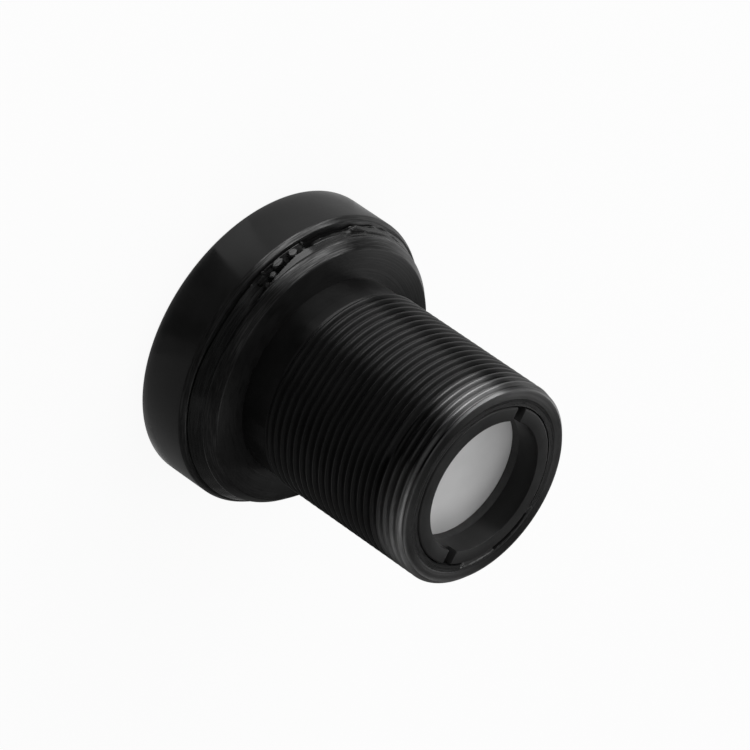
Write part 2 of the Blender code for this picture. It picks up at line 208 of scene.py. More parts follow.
# Where the thread is rubbed: heights, radii and share of bare metal. From METAL_FROM on the
# surface is metal, and its colour goes from rubbed to bare
BARE_METAL = (0.75, 0.75, 0.75)
RUBBED_COLOUR = (0.03, 0.03, 0.03)
METAL_FROM = 0.03
RUBBED_FROM = 14.9 * MM
RUBBED_FULL = 17.1 * MM
RUBBED_RADII = (5.60 * MM, 5.88 * MM)
RUBBED_SHARES = (0.6, 1.0)
RUBBED_BY_BEARING = (
    # bearing in degrees, part of RUBBED_SHARES
    (-180, 0.16),
    (-165, 0.19),
    (-155, 0.32),
    (-135, 0.38),
    (-125, 0.20),
    (-115, 0.13),
    (-95, 0.14),
    (-85, 0.35),
    (-65, 0.53),
    (-55, 0.62),
    (-45, 0.90),
    (-20, 0.90),
    (10, 0.50),
    (105, 0.30),
    (165, 0.13),
    (180, 0.16),
)

# Where the flat end face is rubbed. Its metal comes in over these radii and heights
END_FACE_RADII = (5.15 * MM, 5.25 * MM)
END_FACE_HEIGHTS = (17.38 * MM, 17.45 * MM)
FACE_BY_BEARING = (
    # bearing in degrees, share of metal
    (-180, 0.15),
    (-155, 0.24),
    (-135, 0.26),
    (-115, 0.09),
    (-75, 0.09),
    (-45, 0.14),
    (-15, 0.09),
    (5, 0.09),
    (25, 0.14),
    (50, 0.12),
    (85, 0.12),
    (125, 0.15),
    (145, 0.19),
    (180, 0.15),
)

# Where the edges of flange and cap are rubbed in streaks, and how wide those edges are
EDGE_SHARE = 0.11
EDGE_BLEND = 0.06 * MM
EDGE_STREAKS = (0.35, 0.7)
FLANGE_EDGE = 0.66 * MM
CAP_EDGE = 0.30 * MM
STREAK_DRIFT = 0.0004

# Painted shade: dead matt black painted on the hollow in the adhesive and on the trench round
# the ring, where shade falls
PAINTED_SHADE_GREYS = (0.001, 0.002)
PAINTED_SHADE_SPECULAR = 0.1

# Optical glass, with the thickness of its coating in nanometres
GLASS_INDEX = 1.6
GLASS_TINT = (0.96, 0.97, 0.97)
CLEAR = (1.0, 1.0, 1.0)
FILM_THICKNESS = 110.0
FILM_INDEX = 1.38

# Pale grey painted on the filter as a painted reflection
FILTER_REFLECTION_GREYS = (0.75, 0.79)
FILTER_TRANSMISSION = 0.2

# Camera of the photograph
CAMERA_BEARING = -105.0
CAMERA_ELEVATION = 34.535
CAMERA_ROLL = math.radians(124.4)
CAMERA_TARGET = Vector((-1.545, 0.427, 7.678)) * MM
CAMERA_DISTANCE = 375.5 * MM
CAMERA_LENS = 336.0
CAMERA_CLIP = (0.01, 20.0)
SENSOR_WIDTH = 36.0

# Floor and light. A radiance of 1 renders white, angles are in degrees and lengths in metres
FLOOR_SIZE = 3.0
FLOOR_DROP = 0.02 * MM
FLOOR_COLOUR = (0.80, 0.80, 0.80, 1.0)
FLOOR_GLOW = 0.92
SKY_COLOUR = (1.0, 1.0, 1.0, 1.0)
SKY_LEVEL = 0.50
LAMPS = (
    # name, bearing, elevation, distance, width, height, radiance
    ("side_softbox", 187.0, 17.0, 0.30, 0.31, 0.17, 3.8),
    ("upper_softbox", 145.0, 52.0, 0.40, 0.20, 0.22, 0.55),
    ("back_softbox", 103.0, 33.0, 0.36, 0.18, 0.14, 2.0),
    ("high_softbox", 30.0, 62.0, 0.36, 0.20, 0.16, 1.2),
    ("left_softbox", -8.0, 21.0, 0.36, 0.48, 0.10, 0.25),
    ("front_top_softbox", -105.0, 52.0, 0.36, 0.20, 0.12, 0.35),
    ("top_softbox", -105.0, 84.0, 0.36, 0.16, 0.12, 0.6),
)

# Dark cloth hangs above and round the object, and mats lie beside it. They show in
# reflections alone. The cloth ends above the horizon behind the object
CLOTH_STEPS = 72
TENT_RINGS = 12
TENT_RADIUS = 0.6
TENT_LEVEL = 0.06
TENT_EDGE = -0.3
TENT_EDGE_BEHIND = 10.0
ZENITH = 90.0
BEHIND_BEARINGS = (80.0, 145.0)
MAT_HEIGHT = 0.1 * MM
MATS = (
    # name, first and last bearing, inner and outer radius, level
    ("front_near_mat", -121.0, -84.0, 8.9 * MM, 14.0 * MM, 0.03),
    ("front_far_mat", -133.0, -82.0, 14.0 * MM, 600.0 * MM, 0.03),
    ("left_edge_mat", -84.0, -76.0, 8.9 * MM, 14.0 * MM, 0.16),
    ("left_near_mat", -76.0, 65.0, 8.9 * MM, 14.0 * MM, 0.32),
    ("left_far_mat", -82.0, -10.0, 14.0 * MM, 600.0 * MM, 0.15),
    ("left_back_mat", -10.0, 65.0, 14.0 * MM, 600.0 * MM, 0.10),
    ("back_near_mat", 65.0, 165.0, 8.9 * MM, 12.5 * MM, 0.82),
    ("back_far_mat", 65.0, 165.0, 12.5 * MM, 60.0 * MM, 0.60),
    ("right_near_mat", 165.0, 222.0, 8.9 * MM, 12.5 * MM, 0.60),
    ("right_middle_mat", 165.0, 222.0, 14.8 * MM, 19.5 * MM, 0.42),
    ("right_far_mat", 165.0, 222.0, 19.5 * MM, 60.0 * MM, 0.60),
)


# Numbers

def smooth_step(value):
    """Smooth rise from 0 to 1 as the value goes from 0 to 1."""
    value = min(1.0, max(0.0, value))
    return value * value * (3 - 2 * value)


def between(first, last, part):
    """The value that lies this part of the way from the first to the last."""
    return first + (last - first) * part


def within(bearing, limits, blend=BEARING_BLEND, fade=BEARING_BLEND):
    """1 between two bearings and 0 outside them, with soft edges. All are in degrees."""
    low, high = limits
    rise = smooth_step((bearing - low) / blend + 0.5)
    fall = smooth_step((high - bearing) / fade + 0.5)
    return rise * fall


def direction(bearing, elevation):
    """Unit vector from the object towards that bearing and elevation, in degrees."""
    turn = math.radians(bearing)
    rise = math.radians(elevation)
    return Vector((math.cos(turn) * math.cos(rise), math.sin(turn) * math.cos(rise),
                   math.sin(rise)))


# Outlines

def meridian(name):
    """Outline of a turned solid as (radius, height) points, read in the half plane x = 0.

    A ring's outline is a loop that starts at the outer edge of its rear face and runs down
    the outside. A full disc's outline runs from the axis at its rear to the axis at its front.
    """
    mesh = nodes[name].data
    place = {}
    for vertex in mesh.vertices:
        if abs(vertex.co.x) < PLANE_TOLERANCE and vertex.co.y > -PLANE_TOLERANCE:
            place[vertex.index] = (round(vertex.co.y, 7), round(vertex.co.z, 7))
    near = {}
    for edge in mesh.edges:
        first, second = (place.get(index) for index in edge.vertices)
        if first is None or second is None or first == second:
            continue
        near.setdefault(first, set()).add(second)
        near.setdefault(second, set()).add(first)
    ends = [point for point in near if len(near[point]) == 1]
    start = max(ends or near, key=lambda point: (point[1], point[0]))
    outline = [start, max(near[start])]
    while True:
        onward = [point for point in near[outline[-1]] if point != outline[-2]]
        if not onward or onward[0] == start:
            return outline
        outline.append(onward[0])


def rounded(before, corner, after, cut):
    """Start, middle and end of the small round that replaces a corner."""
    start = corner + (before - corner).normalized() * cut
    end = corner + (after - corner).normalized() * cut
    return start, 0.5 * corner + 0.25 * (start + end), end


def eased(outline, amount=EDGE_BREAK, closed=True):
    """The outline with each real corner broken into a small round."""
    count = len(outline)
    result = []
    for index, point in enumerate(outline):
        if not closed and index in (0, count - 1):
            result.append(point)
            continue
        corner = Vector(point)
        before = Vector(outline[index - 1])
        after = Vector(outline[(index + 1) % count])
        back = before - corner
        ahead = after - corner
        if math.pi - back.angle(ahead) < STRAIGHT_ENOUGH:
            result.append(point)
            continue
        cut = min(amount, EDGE_BREAK_MOST * back.length, EDGE_BREAK_MOST * ahead.length)
        result.extend(tuple(spot) for spot in rounded(before, corner, after, cut))
    return result


def thread_profile():
    """One pitch of the thread as (height above the crest's middle, depth) points."""
    crest = THREAD_CREST / 2
    root = (THREAD_PITCH - THREAD_ROOT) / 2
    corners = [
        Vector((-crest, 0.0)),
        Vector((crest, 0.0)),
        Vector((root, THREAD_DEPTH)),
        Vector((THREAD_PITCH - root, THREAD_DEPTH)),
        Vector((THREAD_PITCH - crest, 0.0)),
        Vector((THREAD_PITCH + crest, 0.0)),
    ]
    points = []
    for before, corner, after in zip(corners, corners[1:], corners[2:]):
        ease = ROOT_EASE if corner.y else CREST_EASE
        points.extend(rounded(before, corner, after, ease))
        if after.y != corner.y:
            end = points[-1]
            for step in range(1, FLANK_STEPS + 1):
                points.append(end.lerp(after, step / (FLANK_STEPS + 1)))
    return [tuple(point) for point in points]


def sphere_points(points):
    """A glass surface from its axis to its rim, on the true sphere through both."""
    apex = points[0]
    rim = points[-1]
    rise = rim[1] - apex[1]
    curve = (rim[0] ** 2 + rise ** 2) / (2 * rise)
    widest = math.asin(rim[0] / abs(curve))
    angles = [widest * step / GLASS_RINGS for step in range(GLASS_RINGS + 1)]
    return [(abs(curve) * math.sin(angle), apex[1] + curve * (1 - math.cos(angle)))
            for angle in angles]


# Objects and faces

def add_object(name, data):
    """A new object of that mesh, lamp or camera."""
    thing = bpy.data.objects.new(name, data)
    bpy.context.collection.objects.link(thing)
    return thing


def shade(mesh):
    """Smooth shading, with the real corners kept sharp."""
    mesh.shade_smooth()
    mesh.set_sharp_from_angle(angle=SHARP_ANGLE)


def turned(name, column, segments, material, closed=True):
    """A solid of revolution. column(bearing) gives its outline points at that bearing.

    The last column is the first one again, so that a thread can end one pitch higher there.
    """
    columns = [column(2 * math.pi * step / segments) for step in range(segments + 1)]
    rows = len(columns[0])
    verts = []
    for step, points in enumerate(columns):
        bearing = 2 * math.pi * step / segments
        cosine = math.cos(bearing)
        sine = math.sin(bearing)
        verts.extend((radius * cosine, radius * sine, height) for radius, height in points)
    faces = []
    for step in range(segments):
        here = step * rows
        beside = here + rows
        for row in range(rows if closed else rows - 1):
            below = (row + 1) % rows
            faces.append((here + row, here + below, beside + below, beside + row))
    mesh = bpy.data.meshes.new(name)
    mesh.from_pydata(verts, [], faces)
    bm = bmesh.new()
    bm.from_mesh(mesh)
    bmesh.ops.remove_doubles(bm, verts=bm.verts, dist=MERGE_DISTANCE)
    bmesh.ops.dissolve_degenerate(bm, edges=bm.edges, dist=MERGE_DISTANCE)
    bmesh.ops.recalc_face_normals(bm, faces=bm.faces)
    bm.to_mesh(mesh)
    bm.free()
    mesh.materials.append(material)
    shade(mesh)
    return add_object(name, mesh)


def paint_faces(piece, material, chosen):
    """Give a second finish to the faces for which chosen(bearing, radius, height) holds."""
    piece.data.materials.append(material)
    for face in piece.data.polygons:
        x, y, z = face.center
        if chosen(math.degrees(math.atan2(y, x)) % 360, math.hypot(x, y), z):
            face.material_index = 1


def dress(piece, name):
    """The piece stands for the CAD node of that name: it hangs from the root body, and the
    node is hidden.
    """
    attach(piece, "root")
    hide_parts(name)


# Barrel, cap and retaining ring

def make_barrel():
    """Barrel with its thread cut between the end chamfer and the neck.

    The solid has the foot of its plain thread and a small fillet at the foot of the neck,
    where this one has the run-out and a sharp corner.
    """
    end_face, chamfer, _, neck, _, _, shoulder, *rest = meridian("barrel")
    corner = (neck[0], shoulder[1])
    body = eased([corner, shoulder, *rest, end_face], closed=False)[:-1]
    profile = thread_profile()[::-1]
    chamfer_slope = (chamfer[0] - end_face[0]) / (end_face[1] - chamfer[1])
    lowest_crest = neck[1] + (CREST_HEIGHT - neck[1]) % THREAD_PITCH
    highest_turn = int((end_face[1] - neck[1]) / THREAD_PITCH) + 1
    turns = range(highest_turn, -RUNOUT_TURNS - 1, -1)

    def column(bearing):
        crest_height = lowest_crest + THREAD_PITCH * bearing / (2 * math.pi)
        points = []
        for turn in turns:
            base = crest_height + turn * THREAD_PITCH
            for offset, depth in profile:
                height = min(end_face[1], max(neck[1], base + offset))
                cut = smooth_step((height - neck[1]) / RUNOUT_LENGTH)
                radius = between(neck[0], chamfer[0] - depth, cut)
                outside = end_face[0] + (end_face[1] - height) * chamfer_slope
                points.append((min(radius, outside), height))
        return points + body

    piece = turned("barrel_threaded", column, OUTER_SEGMENTS, barrel_finish())
    dress(piece, "barrel")


def make_cap():
    """Front cap with fine facets and broken edges."""
    outline = eased(meridian("front_cap"))
    piece = turned("front_cap_turned", lambda bearing: outline, OUTER_SEGMENTS, cap_finish())
    dress(piece, "front_cap")


def slot_cutter(top):
    """Bar along X that cuts both spanner slots. top is the upper corner of the ring's box."""
    mesh = bpy.data.meshes.new("slot_cutter")
    bm = bmesh.new()
    bmesh.ops.create_cube(bm, size=1.0)
    bmesh.ops.scale(bm, vec=(3 * top.x, SLOT_WIDTH, 2 * SLOT_DEPTH), verts=bm.verts)
    bmesh.ops.translate(bm, vec=(0.0, 0.0, top.z), verts=bm.verts)
    bm.to_mesh(mesh)
    bm.free()
    return add_object("slot_cutter", mesh)


def cut_slots(ring, cutter):
    """Cut the spanner slots, and break their edges."""
    slots = ring.modifiers.new("spanner_slots", "BOOLEAN")
    slots.operation = "DIFFERENCE"
    slots.solver = "EXACT"
    slots.object = cutter
    edges = ring.modifiers.new("slot_edges", "BEVEL")
    edges.limit_method = "ANGLE"
    edges.angle_limit = SLOT_EDGE_ANGLE
    edges.width = SLOT_EDGE
    edges.segments = SLOT_EDGE_SEGMENTS
    graph = bpy.context.evaluated_depsgraph_get()
    cut_mesh = bpy.data.meshes.new_from_object(ring.evaluated_get(graph))
    ring.modifiers.clear()
    ring.data = cut_mesh
    shade(cut_mesh)


def make_ring():
    """Retaining ring with its two spanner slots along X."""
    outline = eased(meridian("retaining_ring"), RING_EDGE_BREAK)
    ring = turned("retaining_ring_turned", lambda bearing: outline, OUTER_SEGMENTS,
                  ring_finish())
    cutter = slot_cutter(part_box("retaining_ring")[1])
    cut_slots(ring, cutter)
    bpy.data.objects.remove(cutter)
    dress(ring, "retaining_ring")


# Glass

def make_element(name, glass, ink):
    """A glass element with spherical surfaces, and black ink on its edge and lands."""
    outline = meridian(name)
    rear = sphere_points(outline[:CAD_SURFACE_POINTS])
    front = sphere_points(outline[:-CAD_SURFACE_POINTS - 1:-1])
    lands = outline[CAD_SURFACE_POINTS:-CAD_SURFACE_POINTS]
    full = rear + lands + front[::-1]
    rear_rim = rear[-1]
    front_rim = front[-1]
    middle = (rear_rim[1] + front_rim[1]) / 2

    def past_rim(bearing, radius, height):
        rim = rear_rim if height > middle else front_rim
        return radius > rim[0]

    piece = turned(name + "_ground", lambda bearing: full, GLASS_SEGMENTS, glass, closed=False)
    paint_faces(piece, ink, past_rim)
    dress(piece, name)


def make_elements():
    """All glass elements of the lens."""
    glass = glass_finish()
    ink = edge_ink()
    for name in ELEMENTS:
        make_element(name, glass, ink)


# Adhesive

def mark_rise(degrees, share, radius, width, mark):
    """Rise from 0 at the edge of a drop or dent of the adhesive to 1 at its middle."""
    place, across, half_length, half_width = mark
    along = math.radians(degrees - place) * radius / half_length
    return max(0.0, 1 - along ** 2 - ((share - across) * width / half_width) ** 2)


def streak_depth(bearing, share):
    """How deep the streaks of the smeared part are."""
    spot = Vector((STREAKS_ACROSS * share, STREAKS_ALONG * bearing, STREAK_SLICE))
    smeared = within(math.degrees(bearing), SMEAR_BEARINGS)
    return STREAK_DEPTH * smeared * (STREAK_LEVEL - noise.noise(spot))


def string_rise(degrees, share):
    """How far the string stands up, less the depth of the hollow between it and the cap."""
    start, end = HOLLOW_BEARINGS
    string = between(*STRING_PLACE, (degrees - start) / (end - start))
    rise = STRING_HEIGHT * math.exp(-((share - string) / STRING_WIDTH) ** 2)
    past_string = smooth_step((share - string - HOLLOW_FROM) / HOLLOW_BLEND)
    depth = min(HOLLOW_DEPTH, HOLLOW_TAPER * (1 - share)) * past_string
    return (rise - depth) * within(degrees, HOLLOW_BEARINGS)


def lumpy_rise(degrees, share, radius, width):
    """How far the drops stand up, less how far the ground between them has sunk."""
    start, end = LUMPY_BEARINGS
    highest = max(mark_rise(degrees, share, radius, width, mark) for mark in DROPS)
    drops = smooth_step(DROP_STEEPNESS * highest)
    sunk_from = between(*LUMPY_FROM, smooth_step((degrees - start) / (end - start)))
    ground = smooth_step((share - sunk_from) / LUMPY_BLEND)
    sunk = LUMPY_DROP * (1 - share) * ground * (1 - drops)
    return (DROP_BULGE * drops - sunk) * within(degrees, LUMPY_BEARINGS, fade=LUMPY_FADE)


def adhesive_radius(bearing, share, height, flange_side, cap_side, width):
    """Radius of the adhesive in the groove, whose sides and width are given."""
    degrees = math.degrees(bearing)
    slope = between(1.0, HOLLOW_SLOPE, within(degrees, HOLLOW_BEARINGS))
    radius = flange_side + (cap_side - flange_side) * share * slope
    spot = Vector((flange_side * math.cos(bearing), flange_side * math.sin(bearing), height))
    radius += BEAD_UNEVEN * noise.noise(spot / BEAD_WAVE)
    radius -= streak_depth(bearing, share)
    radius += string_rise(degrees, share)
    radius -= SUNK_DEPTH * within(degrees, SUNK_BEARINGS, SUNK_FADE, SUNK_FADE)
    radius += lumpy_rise(degrees, share, flange_side, width)
    for *mark, depth in DENTS:
        radius -= depth * mark_rise(degrees, share, flange_side, width, mark)
    return radius - BEAD_GAP * smooth_step((share - BEAD_GAP_FROM) / BEAD_GAP_BLEND)


def make_adhesive():
    """Adhesive in the groove: it slopes from the flange's edge up to the cap's rear edge."""
    low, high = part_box("adhesive_bead")
    width = high.z - low.z
    floor_radius = min(point[0] for point in meridian("adhesive_bead"))
    flange_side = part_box("barrel")[1].x - BEAD_SHY
    cap_side = meridian("front_cap")[0][0] - BEAD_SHY

    def column(bearing):
        points = [(floor_radius, high.z)]
        for row in range(BEAD_ROWS):
            share = (row + 0.5) / BEAD_ROWS
            height = between(high.z, low.z, share)
            radius = adhesive_radius(bearing, share, height, flange_side, cap_side, width)
            points.append((radius, height))
        points.append((floor_radius, low.z))
        return points

    def in_shaded_hollow(bearing, radius, height):
        share = (high.z - height) / width
        sunk = radius < between(flange_side, cap_side, share) - HOLLOW_SHADE_BELOW
        beside_string = HOLLOW_BEARINGS[0] < bearing < HOLLOW_BEARINGS[1]
        return sunk and beside_string and share > STRING_PLACE[0]

    piece = turned("adhesive_run", column, BEAD_SEGMENTS, adhesive_finish())
    # Painted shade: the faces deep in the hollow get the dead black finish
    paint_faces(piece, painted_shade_black("adhesive_painted_shade"), in_shaded_hollow)
    dress(piece, "adhesive_bead")


def make_ring_lock():
    """Adhesive round the retaining ring, which fills the barrel's mouth chamfer."""
    bore, mouth = (Vector(point) for point in meridian("barrel")[-2:])
    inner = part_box("retaining_ring")[1].x + LOCK_GAP
    trench_edge = between(mouth.x, inner, LOCK_WALL_FROM + LOCK_WALL_WIDTH / 2)

    def column(bearing):
        trench = within(math.degrees(bearing), LOCK_OPEN_BEARINGS)
        waver = LOCK_WAVER * noise.noise(Vector((bearing / LOCK_WAVER_SIZE, 0.0, 0.0)))
        points = []
        floors = []
        for row in range(LOCK_ROWS + 1):
            share = row / LOCK_ROWS
            radius = between(mouth.x, inner, share)
            floor = between(mouth.y, bore.y, (mouth.x - radius) / (mouth.x - bore.x))
            top = mouth.y - LOCK_SHY - LOCK_SAG * math.sin(math.pi * share)
            wall = smooth_step((share - LOCK_WALL_FROM - waver) / LOCK_WALL_WIDTH)
            points.append((radius, between(top, floor + LOCK_SHY, trench * wall)))
            floors.append((radius, floor - LOCK_SHY))
        return points + floors[::-1]

    def in_shaded_trench(bearing, radius, height):
        return LOCK_SHADE_BEARINGS[0] < bearing < LOCK_SHADE_BEARINGS[1] and radius < trench_edge

    piece = turned("ring_lock_run", column, LOCK_SEGMENTS, lock_finish())
    # Painted shade: the faces of the trench get the dead black finish
    paint_faces(piece, painted_shade_black("ring_lock_painted_shade"), in_shaded_trench)
    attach(piece, "root")


# Parts of the finishes

def new_finish(name):
    """A material with its node tree and its Principled shader."""
    material = bpy.data.materials.new(name)
    material.use_nodes = True
    tree = material.node_tree
    return material, tree, tree.nodes["Principled BSDF"]


def set_surface(tree, shader, colour, roughness, specular=0.5):
    """Colour and roughness of the shader from other nodes, and its specular level."""
    tree.links.new(colour, shader.inputs["Base Color"])
    tree.links.new(roughness, shader.inputs["Roughness"])
    shader.inputs["Specular IOR Level"].default_value = specular


def computed(tree, operation, *values):
    """Result of a maths node. Each value is another node's output or a plain number."""
    node = tree.nodes.new("ShaderNodeMath")
    node.operation = operation
    for value, socket in zip(values, node.inputs):
        if isinstance(value, float):
            socket.default_value = value
        else:
            tree.links.new(value, socket)
    return node.outputs[0]


def plus(tree, first, second):
    """Sum of two values."""
    return computed(tree, "ADD", first, second)


def times(tree, first, second):
    """Product of two values."""
    return computed(tree, "MULTIPLY", first, second)


def combined(tree, *values):
    """A vector of two or three values."""
    vector = tree.nodes.new("ShaderNodeCombineXYZ")
    for value, socket in zip(values, vector.inputs):
        tree.links.new(value, socket)
    return vector.outputs[0]


def separated(tree, vector):
    """The three values of a vector."""
    split = tree.nodes.new("ShaderNodeSeparateXYZ")
    tree.links.new(vector, split.inputs[0])
    return tuple(split.outputs)


def object_place(tree):
    """The place on the object, in metres."""
    return tree.nodes.new("ShaderNodeTexCoord").outputs["Object"]


def bearing_of(tree):
    """Bearing of the place on the object, in radians from -pi to pi."""
    x, y, _ = separated(tree, object_place(tree))
    return computed(tree, "ARCTAN2", y, x)


def radius_and_height(tree):
    """Distance from the axis and height of the place on the object, in metres."""
    x, y, height = separated(tree, object_place(tree))
    radius = tree.nodes.new("ShaderNodeVectorMath")
    radius.operation = "LENGTH"
    tree.links.new(combined(tree, x, y), radius.inputs[0])
    return radius.outputs["Value"], height


def across_turning(tree):
    """A vector that changes only across the marks of a turning tool."""
    return combined(tree, *radius_and_height(tree))


def along_turning(tree):
    """A vector that changes fast across the marks of turning and slowly along them."""
    seamless = computed(tree, "ABSOLUTE", bearing_of(tree))
    return combined(tree, *radius_and_height(tree), times(tree, seamless, STREAK_DRIFT))


def noise_of(tree, vector, size, detail=2.0, dimensions="3D"):
    """Noise whose spots are about as large as size. Returns its value, from 0 to 1."""
    texture = tree.nodes.new("ShaderNodeTexNoise")
    texture.noise_dimensions = dimensions
    texture.inputs["Scale"].default_value = 1 / size
    texture.inputs["Detail"].default_value = detail
    tree.links.new(vector, texture.inputs["Vector"])
    return texture.outputs["Fac"]


def ranged(tree, value, low, high, bottom=0.3, top=0.7):
    """The value stretched so that bottom gives low and top gives high."""
    stretch = tree.nodes.new("ShaderNodeMapRange")
    stretch.inputs["From Min"].default_value = bottom
    stretch.inputs["From Max"].default_value = top
    stretch.inputs["To Min"].default_value = low
    stretch.inputs["To Max"].default_value = high
    tree.links.new(value, stretch.inputs["Value"])
    return stretch.outputs["Result"]


def blended(tree, value, dark, light, bottom=0.3, top=0.7):
    """A colour between dark and light by the value."""
    ramp = tree.nodes.new("ShaderNodeValToRGB")
    ramp.color_ramp.elements[0].position = bottom
    ramp.color_ramp.elements[0].color = (*dark, 1.0)
    ramp.color_ramp.elements[1].position = top
    ramp.color_ramp.elements[1].color = (*light, 1.0)
    tree.links.new(value, ramp.inputs["Fac"])
    return ramp.outputs["Color"]


def blended_greys(tree, value, greys):
    """A grey between a dark one and a light one by the value."""
    dark, light = greys
    return blended(tree, value, (dark, dark, dark), (light, light, light))


def by_bearing(tree, table):
    """Value at the bearing, between (bearing in degrees, value) pairs from -180 to 180."""
    ramp = tree.nodes.new("ShaderNodeValToRGB")
    stops = ramp.color_ramp.elements
    for bearing, value in table:
        place = bearing / 360 + 0.5
        if place == 0.0:
            stop = stops[0]
        elif place == 1.0:
            stop = stops[-1]
        else:
            stop = stops.new(place)
        stop.color = (value, value, value, 1.0)
    turn = ranged(tree, bearing_of(tree), 0.0, 1.0, -math.pi, math.pi)
    tree.links.new(turn, ramp.inputs["Fac"])
    return ramp.outputs["Color"]


def mixed(tree, share, first, second):
    """Colour from the first towards the second by the share. The second may be a constant."""
    mix = tree.nodes.new("ShaderNodeMix")
    mix.data_type = "RGBA"
    tree.links.new(share, mix.inputs["Factor"])
    tree.links.new(first, mix.inputs["A"])
    if isinstance(second, tuple):
        mix.inputs["B"].default_value = (*second, 1.0)
    else:
        tree.links.new(second, mix.inputs["B"])
    return mix.outputs["Result"]


def add_bumps(tree, shader, layers):
    """Chain of bumps on the shader's normal. Each layer is (height value, depth in metres)."""
    normal = None
    for value, depth in layers:
        bump = tree.nodes.new("ShaderNodeBump")
        bump.inputs["Strength"].default_value = 1.0
        bump.inputs["Distance"].default_value = depth
        tree.links.new(value, bump.inputs["Height"])
        if normal:
            tree.links.new(normal, bump.inputs["Normal"])
        normal = bump.outputs["Normal"]
    tree.links.new(normal, shader.inputs["Normal"])


def draw_out_gloss(tree, shader, amount):
    """Draw the gloss out across the marks of turning."""
    shader.inputs["Anisotropic"].default_value = amount
    shader.inputs["Anisotropic Rotation"].default_value = ACROSS_MARKS
    tangent = tree.nodes.new("ShaderNodeTangent")
    tangent.direction_type = "RADIAL"
    tangent.axis = "Z"
    tree.links.new(tangent.outputs[0], shader.inputs["Tangent"])


# Rubbed and dusty places

def rubbed_edge(tree, low, high):
    """How much metal shows in streaks on an edge between two heights."""
    _, height = radius_and_height(tree)
    above = ranged(tree, height, 0.0, 1.0, low - EDGE_BLEND, low)
    below = ranged(tree, height, 1.0, 0.0, high, high + EDGE_BLEND)
    streaks = noise_of(tree, along_turning(tree), size=0.07 * MM, detail=4.0)
    share = ranged(tree, streaks, 0.0, EDGE_SHARE, *EDGE_STREAKS)
    return times(tree, times(tree, above, below), share)


def rubbed_thread(tree):
    """How much metal shows where a holder has rubbed the first turns of the thread."""
    radius, height = radius_and_height(tree)
    near_end = ranged(tree, height, 0.0, 1.0, RUBBED_FROM, RUBBED_FULL)
    outside = ranged(tree, radius, 0.0, 1.0, *RUBBED_RADII)
    side = by_bearing(tree, RUBBED_BY_BEARING)
    patches = noise_of(tree, along_turning(tree), size=0.16 * MM, detail=4.0)
    patchy = ranged(tree, patches, *RUBBED_SHARES)
    share = times(tree, times(tree, near_end, outside), side)
    return times(tree, share, patchy)


def rubbed_end_face(tree):
    """How much metal shows on the flat end face, but not in the mouth inside it."""
    radius, height = radius_and_height(tree)
    near_end = ranged(tree, height, 0.0, 1.0, *END_FACE_HEIGHTS)
    outside = ranged(tree, radius, 0.0, 1.0, *END_FACE_RADII)
    return times(tree, times(tree, near_end, outside), by_bearing(tree, FACE_BY_BEARING))


def rubbed_barrel(tree):
    """Rubbed places of the barrel: first turns of thread, end face and edge of the flange."""
    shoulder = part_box("adhesive_bead")[1].z
    flange_edge = rubbed_edge(tree, shoulder, shoulder + FLANGE_EDGE)
    return plus(tree, plus(tree, rubbed_thread(tree), rubbed_end_face(tree)), flange_edge)


def rubbed_cap(tree):
    """Rubbed place of the cap: its rear chamfer."""
    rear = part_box("front_cap")[1].z
    return rubbed_edge(tree, rear - CAP_EDGE, rear)


def painted_bore_shade(tree):
    """Painted shade: how much of the ring's bore is painted nearly black, which is all of it
    but the part between the unshaded bearings.
    """
    radius, _ = radius_and_height(tree)
    bore = min(point[0] for point in meridian("retaining_ring"))
    inside = ranged(tree, radius, 1.0, 0.0, bore, bore + RING_EDGE_BREAK)
    bearing = bearing_of(tree)
    low, high = UNSHADED_BORE_BEARINGS
    before = ranged(tree, bearing, 1.0, 0.0, low - UNSHADED_BORE_BLEND, low + UNSHADED_BORE_BLEND)
    after = ranged(tree, bearing, 0.0, 1.0, high - UNSHADED_BORE_BLEND, high + UNSHADED_BORE_BLEND)
    return times(tree, inside, plus(tree, before, after))


# Finishes

def anodised(name, greys, roughness, marks, grain, streak, rubbed=None, shade_share=None):
    """Black anodised aluminium with the marks of turning under it.

    greys and roughness are (low, high) pairs, marks and grain are depths in metres, and
    streak is how far the gloss is drawn out across the marks. rubbed(tree) may give how much
    of the bare metal shows, and shade_share(tree) how much of the surface is painted nearly
    black as shade.
    """
    material, tree, shader = new_finish(name)
    place = object_place(tree)
    patches = noise_of(tree, place, size=1.6 * MM, detail=4.0)
    lines = noise_of(tree, across_turning(tree), size=0.14 * MM, detail=4.0, dimensions="2D")
    specks = noise_of(tree, place, size=0.035 * MM)
    colour = blended_greys(tree, patches, greys)
    if rubbed:
        bare = rubbed(tree)
        metal = blended(tree, bare, RUBBED_COLOUR, BARE_METAL, METAL_FROM, 1.0)
        is_metal = ranged(tree, bare, 0.0, 1.0, 0.0, METAL_FROM)
        colour = mixed(tree, is_metal, colour, metal)
        tree.links.new(is_metal, shader.inputs["Metallic"])
    if shade_share:
        # Painted shade: the colour falls to nearly black by shade_share(tree)
        colour = mixed(tree, shade_share(tree), colour, BORE_SHADE_BLACK)
    roughness = ranged(tree, patches, *roughness)
    set_surface(tree, shader, colour, roughness, specular=ANODISED_SPECULAR)
    draw_out_gloss(tree, shader, streak)
    add_bumps(tree, shader, ((lines, marks), (specks, grain)))
    return material


def barrel_finish():
    """Satin black with clear turning lines, rubbed at the rear end of the thread."""
    return anodised("barrel_black", greys=(0.003, 0.005), roughness=(0.30, 0.36),
                    marks=0.007 * MM, grain=0.0004 * MM, streak=0.8, rubbed=rubbed_barrel)


